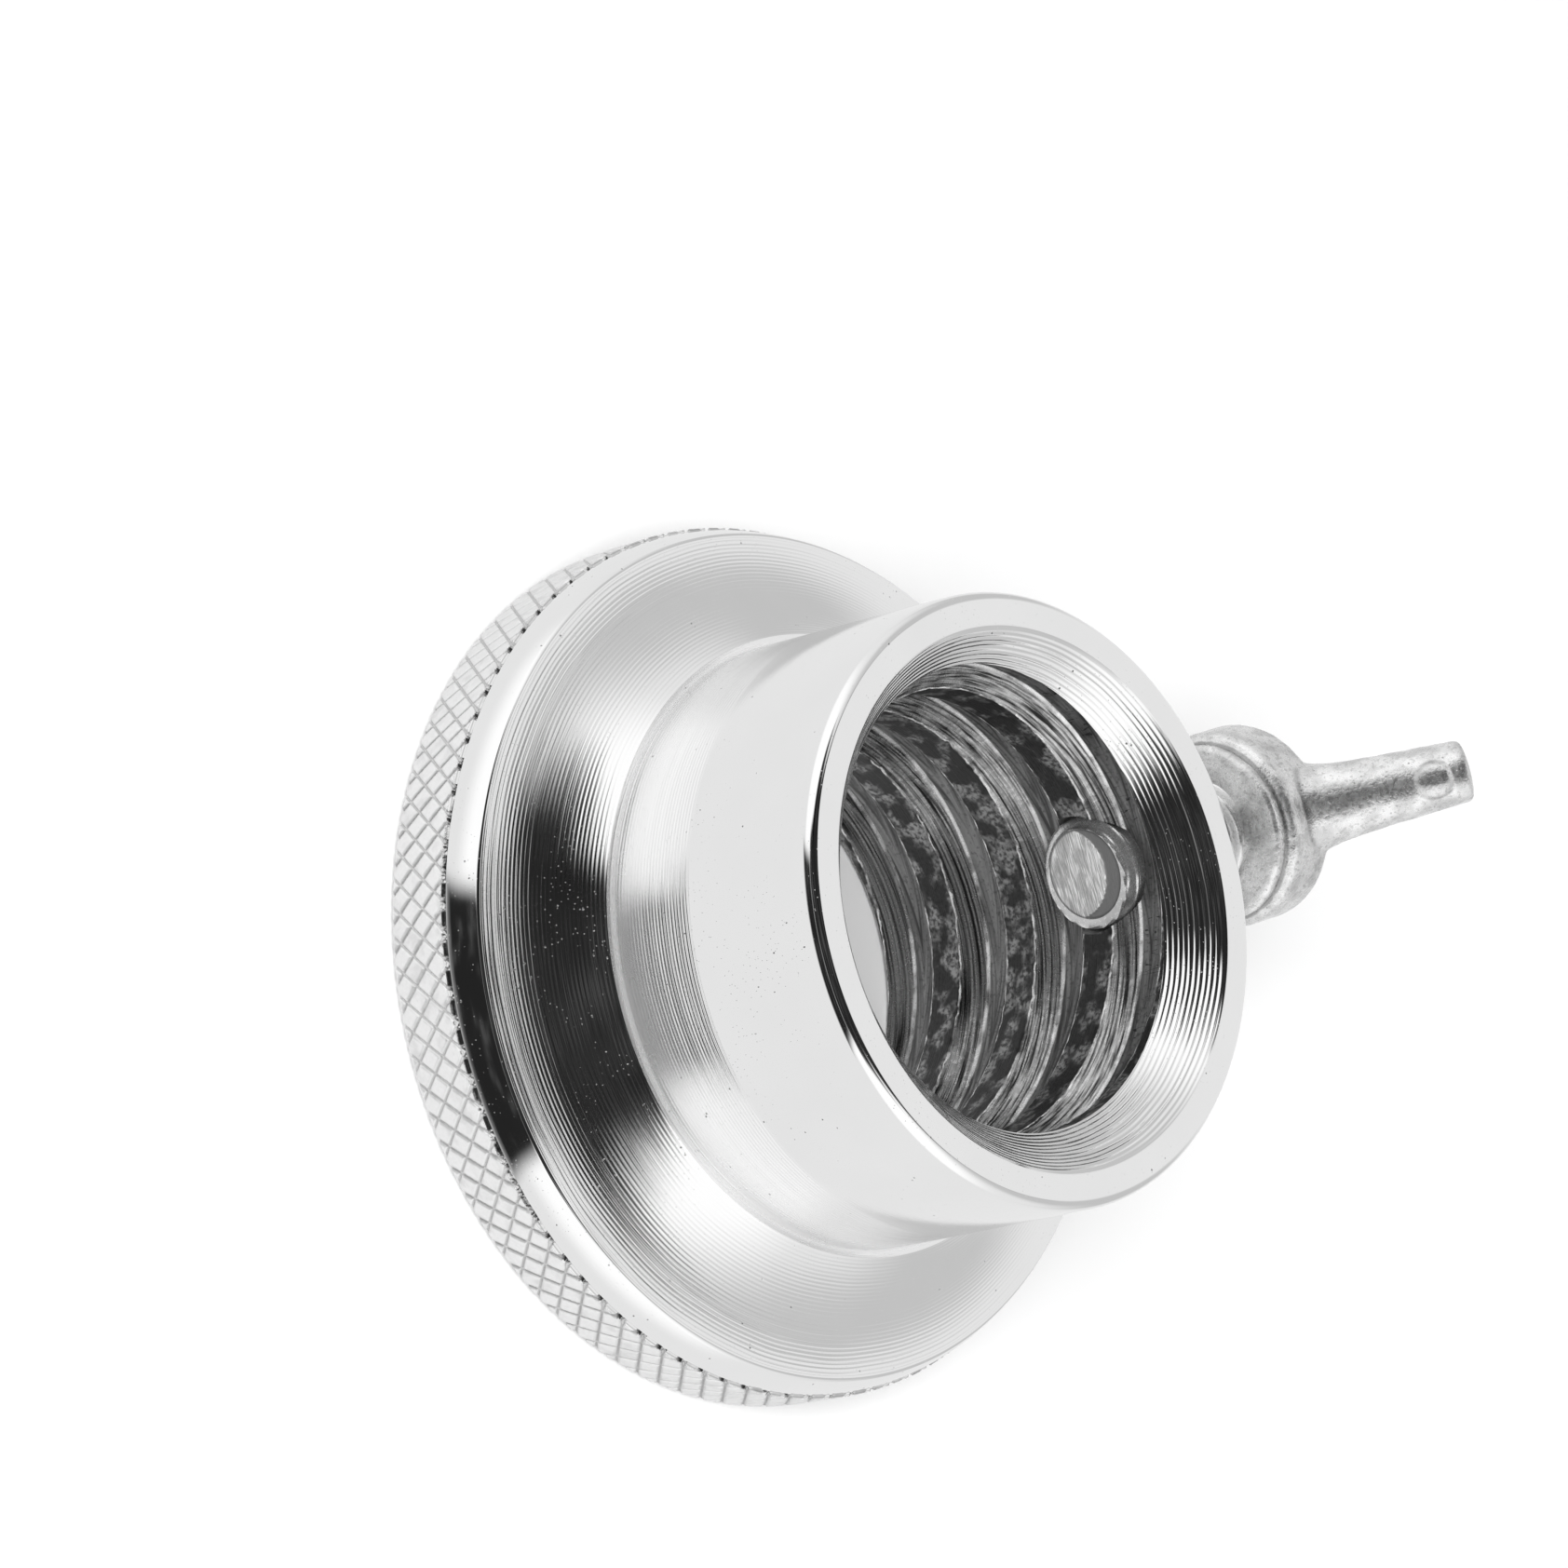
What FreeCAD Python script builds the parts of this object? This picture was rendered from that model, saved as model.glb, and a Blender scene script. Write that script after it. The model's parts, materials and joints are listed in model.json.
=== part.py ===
import FreeCAD, Part
import math
import os

from FreeCAD import Placement, Rotation, Vector

# A flanged locking collar for a round threaded bar, clamped by a radial wing screw.
# The collar stands on the flat back of its flange, with the bore along +Z and the screw along +Y.
# All sizes are in millimetres.

# Collar: overall
COLLAR_HEIGHT = 30.0
BORE_RADIUS = 15.0
BACK_CHAMFER = 0.45
MOUTH_BEVEL = 3.0

# Collar: flange with its knurled band, rounded rim and cove
FLANGE_RADIUS = 30.0
BACK_EDGE_CHAMFER = 0.5
KNURL_TOP = 5.6
RIM_FOOT_RADIUS = 29.75
RIM_BULGE = (29.62, 6.85)
RIM_RIDGE = (29.0, 7.9)
COVE_MIDDLE = (24.48, 9.3)

# Collar: neck
NECK_FOOT = (20.7, 12.15)
NECK_MOUTH_RADIUS = 20.4
MOUTH_CORNER_RADIUS = 0.8

# Thread in the bore: one start, right-hand, with 45 degree flanks
THREAD_PITCH = 7.3
THREAD_DEPTH = 1.5
THREAD_ROOT_WIDTH = 1.6
THREAD_OVERRUN = 0.4
THREAD_START = -6.125
THREAD_TURNS = 6
THREAD_CONE_ANGLE = 0

# Wing screw
SCREW_HEIGHT = 20.8
STUD_RADIUS = 3.9
SCREW_CLEARANCE = 0.05
TIP_DISTANCE = 14.95
TIP_CHAMFER = 0.55
SEAT_COUNTERSINK = 0.8
HEAD_BACK = 28.15
SOCKET_DEPTH = 5.0
STUD_END_GAP = 0.1

# Wing head: hub, as radius and distance from the bore's axis
HUB_FACE_RADIUS = 6.3
HUB_RADIUS = 7.0
HUB_SHOULDER = 29.3
HUB_CROWN_START = 32.9
HUB_TOP = 36.2

# Wing head: ears, as offset from the screw's axis and distance from the bore's axis
EAR_FOOT = (5.4, 29.9)
EAR_EDGE_MIDDLE = (11.5, 33.9)
EAR_CORNER = (15.9, 37.3)
EAR_TIP = (16.2, 38.8)
EAR_CROWN = (15.0, 40.2)
EAR_TOP = (12.2, 40.9)
EAR_HOLLOW = (7.6, 37.6)
EAR_INNER_FOOT = (2.6, 35.0)
EAR_BASE_THICKNESS = 5.6
EAR_BASE_OFFSET = 5.0
EAR_TIP_THICKNESS = 4.1
EAR_TIP_OFFSET = 16.5


def line(start, end):
    return Part.makeLine(start, end)


def arc(start, middle, end):
    return Part.Arc(start, middle, end).toShape()


def on_section(point):
    """A point given as radius and height, on the collar's half section."""
    return Vector(point[0], 0, point[1])


def revolved(edges, axis_point, axis):
    face = Part.Face(Part.Wire(edges))
    return face.revolve(axis_point, axis, 360)


def collar_blank():
    """The turned collar with a plain bore, from one closed half section."""
    corner = MOUTH_CORNER_RADIUS
    corner_centre = (NECK_MOUTH_RADIUS - corner, COLLAR_HEIGHT - corner)
    corner_middle = (
        corner_centre[0] + corner * math.cos(math.pi / 4),
        corner_centre[1] + corner * math.sin(math.pi / 4),
    )
    back_inner = on_section((BORE_RADIUS + BACK_CHAMFER, 0))
    back_outer = on_section((FLANGE_RADIUS - BACK_EDGE_CHAMFER, 0))
    band_foot = on_section((FLANGE_RADIUS, BACK_EDGE_CHAMFER))
    band_top = on_section((FLANGE_RADIUS, KNURL_TOP))
    rim_foot = on_section((RIM_FOOT_RADIUS, KNURL_TOP))
    ridge = on_section(RIM_RIDGE)
    foot = on_section(NECK_FOOT)
    neck_top = on_section((NECK_MOUTH_RADIUS, corner_centre[1]))
    face_edge = on_section((corner_centre[0], COLLAR_HEIGHT))
    bevel_top = on_section((BORE_RADIUS + MOUTH_BEVEL, COLLAR_HEIGHT))
    bevel_foot = on_section((BORE_RADIUS, COLLAR_HEIGHT - MOUTH_BEVEL))
    bore_foot = on_section((BORE_RADIUS, BACK_CHAMFER))
    edges = [
        line(back_inner, back_outer),
        line(back_outer, band_foot),
        line(band_foot, band_top),
        line(band_top, rim_foot),
        arc(rim_foot, on_section(RIM_BULGE), ridge),
        arc(ridge, on_section(COVE_MIDDLE), foot),
        line(foot, neck_top),
        arc(neck_top, on_section(corner_middle), face_edge),
        line(face_edge, bevel_top),
        line(bevel_top, bevel_foot),
        line(bevel_foot, bore_foot),
        line(bore_foot, back_inner),
    ]
    return revolved(edges, Vector(0, 0, 0), Vector(0, 0, 1))


def thread_groove():
    """The helical groove between the crests of the bar thread, longer than the bore at both ends."""
    inner_radius = BORE_RADIUS - THREAD_OVERRUN
    outer_radius = BORE_RADIUS + THREAD_DEPTH
    half_root = THREAD_ROOT_WIDTH / 2
    half_mouth = half_root + THREAD_DEPTH + THREAD_OVERRUN
    corners = [
        Vector(inner_radius, 0, THREAD_START - half_mouth),
        Vector(outer_radius, 0, THREAD_START - half_root),
        Vector(outer_radius, 0, THREAD_START + half_root),
        Vector(inner_radius, 0, THREAD_START + half_mouth),
    ]
    section = Part.makePolygon(corners + corners[:1])
    length = THREAD_PITCH * THREAD_TURNS
    path = Part.makeLongHelix(THREAD_PITCH, length, BORE_RADIUS, THREAD_CONE_ANGLE)
    path.translate(Vector(0, 0, THREAD_START))
    return Part.Wire(path.Edges).makePipeShell([section], True, True)


def screw_hole():
    """The radial hole for the screw, with a countersink where it opens on the neck."""
    hole_radius = STUD_RADIUS + SCREW_CLEARANCE
    outward = Vector(0, 1, 0)
    neck_side = NECK_FOOT[0]
    hole = Part.makeCylinder(
        hole_radius, neck_side, Vector(0, BORE_RADIUS / 2, SCREW_HEIGHT), outward
    )
    countersink = Part.makeCone(
        hole_radius,
        hole_radius + 2 * SEAT_COUNTERSINK,
        2 * SEAT_COUNTERSINK,
        Vector(0, neck_side - 1.5 * SEAT_COUNTERSINK, SCREW_HEIGHT),
        outward,
    )
    return hole.fuse(countersink)


def collar_body():
    return collar_blank().cut(thread_groove()).cut(screw_hole())


def on_screw_section(point):
    """A point given as radius from the screw's axis and distance from the bore's axis."""
    return Vector(0, point[1], SCREW_HEIGHT + point[0])


def screw_stud():
    """The threaded stud at its major diameter, chamfered at the end that meets the bar."""
    tip = TIP_DISTANCE
    end = HEAD_BACK + SOCKET_DEPTH - STUD_END_GAP
    section = [
        on_screw_section((0, tip)),
        on_screw_section((STUD_RADIUS - TIP_CHAMFER, tip)),
        on_screw_section((STUD_RADIUS, tip + TIP_CHAMFER)),
        on_screw_section((STUD_RADIUS, end)),
        on_screw_section((0, end)),
    ]
    outline = Part.makePolygon(section + section[:1])
    return revolved(outline.Edges, Vector(0, 0, SCREW_HEIGHT), Vector(0, 1, 0))


def hub():
    """The head's round hub, with a chamfered back face and a front that is part of a sphere."""
    crown_height = HUB_TOP - HUB_CROWN_START
    sphere_radius = (HUB_RADIUS**2 + crown_height**2) / (2 * crown_height)
    sphere_centre = HUB_TOP - sphere_radius
    half_angle = math.asin(HUB_RADIUS / sphere_radius) / 2
    crown_middle = (
        sphere_radius * math.sin(half_angle),
        sphere_centre + sphere_radius * math.cos(half_angle),
    )
    face_edge = on_screw_section((HUB_FACE_RADIUS, HEAD_BACK))
    shoulder = on_screw_section((HUB_RADIUS, HUB_SHOULDER))
    crown_start = on_screw_section((HUB_RADIUS, HUB_CROWN_START))
    top = on_screw_section((0, HUB_TOP))
    back = on_screw_section((0, HEAD_BACK))
    edges = [
        line(back, face_edge),
        line(face_edge, shoulder),
        line(shoulder, crown_start),
        arc(crown_start, on_screw_section(crown_middle), top),
        line(top, back),
    ]
    return revolved(edges, Vector(0, 0, SCREW_HEIGHT), Vector(0, 1, 0))


def ear():
    """The upper ear: its side outline, cut to a thickness that tapers towards the tip."""
    foot = on_screw_section(EAR_FOOT)
    corner = on_screw_section(EAR_CORNER)
    crown = on_screw_section(EAR_CROWN)
    inner_foot = on_screw_section(EAR_INNER_FOOT)
    top = on_screw_section(EAR_TOP)
    outline = Part.Wire(
        [
            arc(foot, on_screw_section(EAR_EDGE_MIDDLE), corner),
            arc(corner, on_screw_section(EAR_TIP), crown),
            line(crown, top),
            arc(top, on_screw_section(EAR_HOLLOW), inner_foot),
            line(inner_foot, foot),
        ]
    )
    slab = Part.Face(outline).extrude(Vector(2 * EAR_BASE_THICKNESS, 0, 0))
    slab.translate(Vector(-EAR_BASE_THICKNESS, 0, 0))

    growth = (EAR_BASE_THICKNESS - EAR_TIP_THICKNESS) / (EAR_TIP_OFFSET - EAR_BASE_OFFSET)
    half_axis = (EAR_BASE_THICKNESS + growth * EAR_BASE_OFFSET) / 2
    half_tip = EAR_TIP_THICKNESS / 2
    taper_corners = [
        Vector(-half_axis, 0, SCREW_HEIGHT),
        Vector(half_axis, 0, SCREW_HEIGHT),
        Vector(half_tip, 0, SCREW_HEIGHT + EAR_TIP_OFFSET),
        Vector(-half_tip, 0, SCREW_HEIGHT + EAR_TIP_OFFSET),
    ]
    taper = Part.Face(Part.makePolygon(taper_corners + taper_corners[:1]))
    return slab.common(taper.extrude(Vector(0, 2 * FLANGE_RADIUS, 0)))


def wing_head():
    """The hub with two opposite ears and the blind socket that takes the stud."""
    upper_ear = ear()
    lower_ear = upper_ear.copy()
    half_turn = Rotation(Vector(0, 1, 0), 180)
    axis_point = Vector(0, 0, SCREW_HEIGHT)
    lower_ear.Placement = Placement(Vector(0, 0, 0), half_turn, axis_point)
    socket = Part.makeCylinder(
        STUD_RADIUS + SCREW_CLEARANCE,
        SOCKET_DEPTH,
        Vector(0, HEAD_BACK, SCREW_HEIGHT),
        Vector(0, 1, 0),
    )
    return hub().fuse([upper_ear, lower_ear]).cut(socket).removeSplitter()


def main():
    os.makedirs("parts", exist_ok=True)
    pieces = {
        "collar_body": collar_body(),
        "screw_stud": screw_stud(),
        "wing_head": wing_head(),
    }
    for name, shape in pieces.items():
        solid = shape.Solids[0]
        print(name, "solids", len(shape.Solids), "valid", solid.isValid(), "volume", round(solid.Volume, 1))
        solid.exportStep("parts/" + name + ".step")


main()
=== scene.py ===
"""The looks of a chromed locking collar and its wing screw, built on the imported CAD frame.

Shapes are worked out in millimetres in the CAD frame: the bore runs along +Z and the screw along +Y.
Each finished piece is scaled to metres when its mesh is made.
"""

import itertools
import json
import math

import bmesh
import bpy
import numpy as np
from mathutils import Matrix, Quaternion, Vector


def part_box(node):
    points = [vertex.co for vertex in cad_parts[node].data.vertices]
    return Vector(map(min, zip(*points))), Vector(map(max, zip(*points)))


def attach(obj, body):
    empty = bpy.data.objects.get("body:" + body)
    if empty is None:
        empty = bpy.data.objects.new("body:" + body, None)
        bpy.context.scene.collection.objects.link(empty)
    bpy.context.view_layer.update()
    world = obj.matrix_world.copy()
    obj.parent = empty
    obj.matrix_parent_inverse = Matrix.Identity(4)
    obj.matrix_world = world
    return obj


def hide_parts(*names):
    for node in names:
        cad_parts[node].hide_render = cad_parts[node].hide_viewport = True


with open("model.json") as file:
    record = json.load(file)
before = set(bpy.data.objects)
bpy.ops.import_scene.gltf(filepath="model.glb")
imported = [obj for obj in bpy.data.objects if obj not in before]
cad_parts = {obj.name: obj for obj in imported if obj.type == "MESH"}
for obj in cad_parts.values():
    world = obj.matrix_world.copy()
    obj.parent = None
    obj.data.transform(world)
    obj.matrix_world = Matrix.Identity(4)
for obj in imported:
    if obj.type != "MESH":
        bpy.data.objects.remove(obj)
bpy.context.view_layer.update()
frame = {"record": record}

MM = 0.001
TURN = 2 * math.pi

# -------- sizes, in millimetres

HUB_CLEARANCE = 0.05

collar_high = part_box("collar_body")[1] / MM
stud_low, stud_high = (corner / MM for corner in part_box("screw_stud"))
head_low, head_high = (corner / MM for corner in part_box("wing_head"))
mounts = {mount["name"]: mount for mount in frame["record"]["mounts"]}

BORE_RADIUS = mounts["bar_bore"]["dims"]["r_mm"]
COLLAR_HEIGHT = collar_high.z
FLANGE_RADIUS = collar_high.x
SCREW_HEIGHT = (stud_low.z + stud_high.z) / 2
STUD_RADIUS = (stud_high.x - stud_low.x) / 2
TIP_DISTANCE = stud_low.y
STUD_LENGTH = stud_high.y - stud_low.y
HEAD_BACK = head_low.y
HUB_RADIUS = (head_high.x - head_low.x) / 2 - HUB_CLEARANCE

# Collar section: radius and height above the flange's back
BACK_BEVEL = 0.45
MOUTH_BEVEL = 3.0
BACK_EDGE = 0.5
BACK_FACE_START = 16.6
KNURL_TOP = 5.6
KNURL_SEAT_RADIUS = 29.58
RIM_FOOT = (29.75, 5.6)
RIM_BULGE = (29.46, 6.78)
RIM_RIDGE = (29.0, 7.9)
COVE_MIDDLE = (24.48, 9.3)
NECK_FOOT = (20.7, 12.15)
NECK_LAND = 0.5
NECK_MIDDLE = (NECK_FOOT[0] - 0.1, 18.5)
NECK_MOUTH_RADIUS = 20.4
MOUTH_CORNER = 0.8
COLLAR_COLUMNS = 720

# Bar thread in the bore, measured from the middle of the groove
THREAD_PITCH = 7.3
THREAD_DEPTH = 1.5
ROOT_HALF_WIDTH = 0.8
GROOVE_START = -6.125

# Wear of the bar thread; a layer of noise is a height, a cell and a seed, and CHIP_NOISE the last two
CREST_WAVES = ((0.03, 2.2, 3), (0.012, 0.5, 4))
BORE_WEAR = ((0.012, 1.1, 6), (0.01, 0.35, 7))
CHIP_NOISE, CHIP_START = (0.6, 5), 0.15
CHIP_DEPTH, CHIP_REACH = 0.15, 0.22
RIDGE_HEIGHT, RIDGE_CELL, RIDGE_SEED = 0.018, (5, 0.16), 8
RIDGE_START = (0.1, 0.4)

# The bevel's rounded lip, and how far its cutter reaches past it
LIP = 0.1
LIP_MIDDLE = (0.02, -0.03)
CUTTER_REACH = 0.3

# Knurl; its noises have a cell and a seed
DIAMONDS = 97
DIAMOND_HEIGHT = 2.3
KNURL_GROOVE = 0.17
KNURL_DEPTH = 0.13
KNURL_CLEARANCE = 0.035
KNURL_EDGE = 0.22
KNURL_FOOT = 0.015
KNURL_RUN_OUT = 1.3
KNURL_UNEVENNESS = (1.6, 11)
KNURL_GRAIN = (0.4, 12)
BURR_HEIGHT, BURR_OFFSET, BURR_WIDTH = 0.015, 0.05, 0.06
KNURL_COLUMNS = DIAMONDS * 16
KNURL_ROWS = 52

# Screw: M8 thread, its ground end with a lower crescent, and the hole it runs in
SCREW_PITCH = 1.25
SCREW_THREAD_DEPTH = 0.68
CREST_FLAT = SCREW_PITCH / 8
THREAD_SLOPE = (SCREW_PITCH - 3 * CREST_FLAT) / 2
STUD_CLEARANCE = 0.03
STUD_WEAR = ((0.02, 0.5, 21),)
STUD_COLUMNS, TIP_RINGS = 120, 25
TIP_FACE_RADIUS = 3.15
TIP_SLOPE = 5.0
CRESCENT_TURN = math.radians(80)
CRESCENT_WIDTH = 1.3
CRESCENT_DEPTH = 0.16
CRESCENT_EDGE = 0.12
HOLE_RADIUS = 4.1
HOLE_START = 12.0
HOLE_COUNTERSINK = 0.8
HOLE_COLUMNS = 96

# Wing head: ear points are offset from the screw's axis and distance from the bore's axis
HUB_CROWN_START = 32.9
HUB_CROWN_TOP = 36.2
EAR_ROOT_LOW = (2.0, 30.6)
EAR_ROOT_HIGH = (0.5, 34.0)
EAR_FOOT = (5.4, 29.9)
EAR_EDGE_MIDDLE = (11.5, 33.9)
EAR_CORNER = (15.9, 37.3)
EAR_TOP = (12.2, 40.5)
EAR_HOLLOW = (7.6, 37.6)
EAR_INNER_FOOT = (2.6, 35.0)
EAR_BASE_OFFSET = 5.0
EAR_BASE_THICKNESS = 5.6
EAR_TIP_OFFSET = 16.5
EAR_TIP_THICKNESS = 4.1
EAR_FLARE = 1.5
EAR_FLARE_LENGTH = 1.2
EAR_SQUARENESS = 2.2
EAR_CAP = ((0.45, 0.99, 1.0), (0.62, 0.96, 0.99), (0.72, 0.9, 0.95), (0.75, 0.8, 0.88))
EAR_TURN = math.radians(1.5)
BOSS_STEP = 16

# Rings of the boss, as radius and lift, and of the hub's back and disc, as radius and distance from it
BOSS_RINGS = (
    (0, -1.2), (1.35, -1.2), (1.35, 0), (1.25, 0.16), (1.05, 0.3), (0.75, 0.43), (0.4, 0.52), (0, 0.55)
)
HUB_BACK = ((0, 0.4), (3, 0.4), (5.5, 0.4), (5.9, 0.85), (6.8, 1.2))
HUB_SIDE_START = 1.7
DISC_RINGS = ((0, 0), (5.8, 0), (6.1, 0.08), (6.28, 0.35), (6.28, 0.7), (6.1, 0.95), (0, 0.95))
BOSS_NARROWING = 0.9
HUB_COLUMNS, EAR_COLUMNS, BOSS_COLUMNS = 96, 64, 48
EAR_STEPS = 20
CAST_GRAIN = ((0.02, 0.9, 31), (0.012, 0.4, 32))
WING_VOXEL = 0.15
WING_SMOOTHING = 5
BOSS_SMOOTHING = 2
HOLLOW_SMOOTHING = 6
HOLLOW_GAIN = 120.0

# Material slots, how near points are joined into one, and a sharp edge in degrees
CHROME_SLOT, BORE_SLOT = 0, 1
THREAD_SLOT, TIP_SLOT = 0, 1
JOIN_DISTANCE = 0.00005
SHARP_EDGE = 32

# How strongly each part of the collar's section is grooved by the lathe; the cove is 1
BACK_GROOVING = 0.5
RIM_GROOVING = 0.03
NECK_FOOT_GROOVING = 1.4
NECK_GROOVING = 0.1
MOUTH_GROOVING = 0.04
BEVEL_GROOVING = 3.6

# -------- looks
# Tones, roughness and metalness go from 0 to 1; relief and texture sizes are in millimetres.

NOISE_MIDDLE = (0.3, 0.7)

# Chrome plate
TURNING_PITCH = 0.29
BEVEL_PITCH = 0.36
TURNING_DEPTH = 0.009
TURNING_DRIFT = 5.0
TURNING_UNEVENNESS = (0.5, 1.2)
FINE_TURNING_DEPTH = 0.006
PIT_DEPTH, PIT_TONE = 0.03, 0.25
SPECK_HEIGHT = 0.012
CHROME_TONES = (0.89, 0.95)
CHROME_ROUGHNESS = (0.05, 0.10)
COVE_ROUGHENING = 0.025
NECK_ROUGHENING, NECK_DULLING = 0.2, 0.25

# Knurl
KNURL_TONES = (0.74, 0.88)
# The knurl's groove tone is painted shade in the grooves
KNURL_GROOVE_SHADE_TONE = 0.46
KNURL_SMEAR_TONE = 0.60
KNURL_ROUGHNESS = (0.28, 0.4)
KNURL_GRAIN_DEPTH = 0.015

# Thread in the bore
DARK_CREST_TONES = (0.01, 0.08)
BARE_CREST_TONES = (0.07, 0.40)
FLANK_TONES = (0.03, 0.68)
ROOT_TONES, ROOT_DIRT_TONE = (0.09, 0.38), 0.08
# The bore's edge tone is a painted highlight along the thread's edges
BORE_EDGE_HIGHLIGHT_TONE, CRACK_TONE = 0.95, 0.02
BORE_ROUGHNESS = (0.34, 0.5)
CRACKED_HEIGHTS = (19.0, 22.0)
BORE_RIDGE_HEIGHT, PATCH_HEIGHT, BORE_GRAIN_DEPTH = 0.035, 0.03, 0.02

# Screw thread and its ground end
THREAD_TONES, CHAMFER_TONES = (0.7, 0.95), (0.55, 0.95)
THREAD_ROUGHNESS, THREAD_GRAIN_DEPTH = (0.18, 0.3), 0.015
GROUND_TONES, WORN_TIP_TONES = (0.42, 1.0), (0.12, 0.5)
CRESCENT_TONES, TIP_BORDER_TONE = (0.16, 0.22), 0.08
TIP_ROUGHNESS, TIP_GRAIN_DEPTH, SCRATCH_DEPTH = (0.4, 0.55), 0.008, 0.012

# Casting
# The third casting tone darkens both the specks and the painted shade in the hollows
CAST_TONES, CAST_GRAIN_TONE, CAST_SPECK_AND_SHADE_TONE = (0.66, 0.90), 0.42, 0.2
CAST_ROUGHNESS = (0.20, 0.34)
CAST_GRAIN_DEPTH, CAST_FINE_DEPTH, CAST_PIT_DEPTH = 0.045, 0.02, 0.03

# Floor
FLOOR_TONES, FLOOR_SMEAR, FLOOR_ROUGHNESS = (0.90, 0.93), 40.0, 0.9

# -------- camera and light

# Camera, in millimetres and degrees; its clipping is in metres
CAMERA_PLACE = (-15.09, -262.24, 272.11)
CAMERA_TARGET = (-11.43, -2.33, 12.5)
CAMERA_ROLL = 75.09
CAMERA_LENS = 126.24
CAMERA_CLIP = (0.01, 20.0)
SENSOR_WIDTH = 36.0
CAMERA_HEADING = math.radians(3.3)

# The tent: levels of light, and where its parts start and end along a direction
BACKDROP_LEVEL = 0.95
TENT_LEVEL = 0.84
LOW_FADE = (-0.4, -0.1)
STRIP_EXTRA = 0.25
STRIP_EDGE = (0.0, 0.08)
STRIP_END = (-0.1, 0.25)
SHADE_DEPTH = 0.26
SHADE_INNER = (0.3, 0.5)
SHADE_OUTER = (0.7, 0.95)
SHADE_START = (0.1, 0.45)

# The dark gap, with a round pale panel, a faint band and some clutter in it
GAP_LEVEL = 0.018
GAP_HEIGHTS = (-0.2, 1.0)
GAP_HALF_WIDTHS = (0.50, 0.40)
GAP_EDGE = (-0.04, 0.05)
GAP_FAR_END = (0.55, 0.65)
GAP_LOW_END = (-0.58, -0.42)
PANEL_CENTRE = 0.62
PANEL_REACH = (0.38, 0.48)
BAND_LEVEL = 0.22
BAND_MIDDLE, BAND_EDGE = 0.38, (0.03, 0.07)
CLUTTER_LEVEL = 0.06
CLUTTER_SCALE = 5.0
CLUTTER_STEP = (0.5, 0.7)

# Dark flags in the tent: foot, top, left, right and far edges
LOW_FLAG = ((0.42, 0.54), (0.80, 0.88), (-0.60, -0.50), (0.50, 0.62), (-0.2, 0.0))
HIGH_FLAG = ((0.70, 0.78), (0.93, 0.98), (-0.82, -0.62), (0.30, 0.50), (0.0, 0.15))
FLAG_DEPTH = 0.97

# Floor and key lamp, in metres and watts
FLOOR_REACH = 3.0
FLOOR_GAP = 0.00002
KEY_PLACE = (-0.05, -0.55, 0.75)
KEY_SIZE = 0.6
KEY_POWER = 9.0


# -------- shape helpers


def lattice_value(cells, seed):
    """A repeatable value from -1 to 1 for each whole-numbered cell."""
    mixed = cells[..., 0] * 73856093 ^ cells[..., 1] * 19349663 ^ cells[..., 2] * 83492791 ^ seed * 7919
    mixed = ((mixed ^ (mixed >> 13)) * 1274126177) & 0xFFFFFFFF
    mixed = mixed ^ (mixed >> 15)
    return (mixed & 0xFFFF) / 32767.5 - 1


def noise(points, cell, seed):
    """Smooth noise from -1 to 1 at each point, with features about one cell across."""
    scaled = points / cell
    base = np.floor(scaled).astype(np.int64)
    part = scaled - base
    part = part * part * (3 - 2 * part)
    total = np.zeros(points.shape[:-1])
    for corner in itertools.product((0, 1), repeat=3):
        weight = np.where(corner, part, 1 - part).prod(axis=-1)
        total += weight * lattice_value(base + corner, seed)
    return total


def layered(points, layers):
    """Noises added up, each given as its height, cell and seed."""
    return sum(height * noise(points, cell, seed) for height, cell, seed in layers)


def smoothstep(value, low, high):
    t = np.clip((value - low) / (high - low), 0, 1)
    return t * t * (3 - 2 * t)


def arc_points(start, middle, end, count):
    """Points along the circular arc through three section points, the first one left out."""
    (ax, ay), (bx, by), (cx, cy) = start, middle, end
    area = 2 * (ax * (by - cy) + bx * (cy - ay) + cx * (ay - by))
    a2, b2, c2 = ax * ax + ay * ay, bx * bx + by * by, cx * cx + cy * cy
    ux = (a2 * (by - cy) + b2 * (cy - ay) + c2 * (ay - by)) / area
    uy = (a2 * (cx - bx) + b2 * (ax - cx) + c2 * (bx - ax)) / area
    radius = math.hypot(ax - ux, ay - uy)
    first = math.atan2(ay - uy, ax - ux)
    sweep = (math.atan2(cy - uy, cx - ux) - first + math.pi) % TURN - math.pi
    angles = [first + sweep * (k + 1) / count for k in range(count)]
    return [(ux + radius * math.cos(a), uy + radius * math.sin(a)) for a in angles]


def line_points(start, end, count):
    """Points along a straight run, the first one left out."""
    start, run = np.array(start), np.array(end) - np.array(start)
    return [tuple(start + run * (k + 1) / count) for k in range(count)]


def round_the_axis(radius, angle, height):
    """Points from radii, angles and heights that fit together as arrays, as rows of x, y, z."""
    places = np.broadcast_arrays(radius * np.cos(angle), radius * np.sin(angle), height)
    return np.stack(places, axis=-1)


def round_turn(columns):
    """Angles of evenly spaced columns round one full turn."""
    return np.linspace(0, TURN, columns + 1)[:-1]


def quads(rows, columns, wrap):
    """Vertex indices of the quads between grid rows, round the ring if wrap is set."""
    last = columns if wrap else columns - 1
    row, column = np.meshgrid(np.arange(rows - 1), np.arange(last), indexing="ij")
    after = (column + 1) % columns
    corners = [row * columns + column, row * columns + after,
               (row + 1) * columns + after, (row + 1) * columns + column]
    return np.stack([c.ravel() for c in corners], axis=1)


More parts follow.
